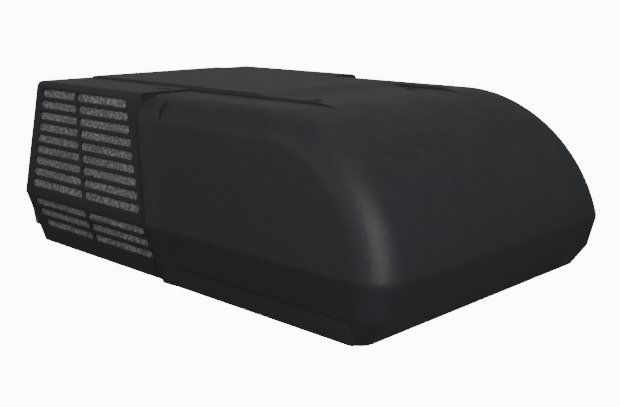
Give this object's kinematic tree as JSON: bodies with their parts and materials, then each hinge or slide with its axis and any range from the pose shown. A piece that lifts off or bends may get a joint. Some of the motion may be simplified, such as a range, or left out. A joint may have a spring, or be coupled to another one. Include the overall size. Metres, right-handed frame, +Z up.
{
  "type": "rooftop air conditioner",
  "caption": "Low-profile rooftop air conditioner for a caravan: black moulded shroud with louvred grille over coils, compressor, fan and blower.",
  "frame": {"origin": "middle of the unit's outline on the roof skin, under the compressed gasket (z = 0)", "axes": "+X towards the nose (direction of travel), +Z up, +Y to the left of travel"},
  "size_m": [1.0361, 0.7056, 0.3665],
  "materials": {
    "shroud_plastic": "black, satin, fine pebble grain",
    "screen_mesh": "fine woven mesh on a moulded lattice",
    "galvanised_sheet": "zinc-coated sheet, faint spangle",
    "coil_fins": "close-pitched thin fins",
    "copper": "drawn copper tube, slightly tarnished",
    "black_enamel": "baked gloss enamel",
    "grey_enamel": "satin enamel",
    "bright_steel": "zinc-plated or ground steel",
    "fan_plastic": "moulded, satin",
    "wheel_plastic": "moulded, satin",
    "foam_black": "closed-cell foam",
    "rubber_black": "moulded, matt",
    "tray_white": "moulded, satin",
    "wiring": "corrugated sleeve",
    "capacitor_can": "drawn can",
    "copper_dark": "lacquered windings and laminations"
  },
  "bodies": {
    "unit": {"accumulator": "black_enamel", "base_pan": "galvanised_sheet", "blower_inlet_ring": "fan_plastic", "blower_scroll": "wheel_plastic", "bulkhead_screws": "bright_steel", "bulkhead_seal": "foam_black", "capacitor_strap": "galvanised_sheet", "capacitors": "capacitor_can", "clip_nuts": "bright_steel", "compressor": "black_enamel", "compressor_foot_plate": "black_enamel", "compressor_grommets": "rubber_black", "compressor_lead": "wiring", "compressor_studs": "bright_steel", "condenser_coil": "coil_fins", "condenser_end_plates": "galvanised_sheet", "discharge_line": "copper", "drain_tray": "tray_white", "electrical_box": "galvanised_sheet", "electrical_cover": "galvanised_sheet", "evaporator_bends": "copper", "evaporator_coil": "coil_fins", "evaporator_end_plates": "galvanised_sheet", "evaporator_housing": "galvanised_sheet", "fan_bulkhead": "galvanised_sheet", "fan_ring": "fan_plastic", "filter_drier": "copper", "front_shroud_brackets": "galvanised_sheet", "housing_foam": "foam_black", "housing_screws": "bright_steel", "line_grommets": "rubber_black", "liquid_line": "copper", "motor_bearings": "bright_steel", "motor_core": "copper_dark", "motor_cradle": "galvanised_sheet", "motor_cradle_bolts": "bright_steel", "motor_end_bells": "grey_enamel", "motor_lead": "wiring", "motor_shell": "grey_enamel", "motor_strap": "galvanised_sheet", "power_socket": "wheel_plastic", "rear_shroud_brackets": "galvanised_sheet", "rear_support_pads": "foam_black", "relay_board": "tray_white", "roof_gasket": "foam_black", "roof_weld_nuts": "bright_steel", "suction_line": "copper", "supply_conduit": "wiring", "terminal_cover": "wheel_plastic"},
    "rotor": {"motor_shaft": "bright_steel", "condenser_fan": "fan_plastic", "blower_wheel": "wheel_plastic"},
    "shroud_body": {"shroud": "shroud_plastic", "louvre_screen": "screen_mesh", "shroud_screws": "bright_steel", "shroud_washers": "bright_steel"}
  },
  "joints": [
    {"name": "fan_spin", "type": "hinge", "parent": "unit", "child": "rotor", "pos_m": [0, 0, 0.18], "axis": [1, 0, 0], "continuous": true},
    {"name": "shroud_lift", "type": "slide", "parent": "unit", "child": "shroud_body", "axis": [0, 0, 1], "range_m": [0, 0.4]}
  ]
}
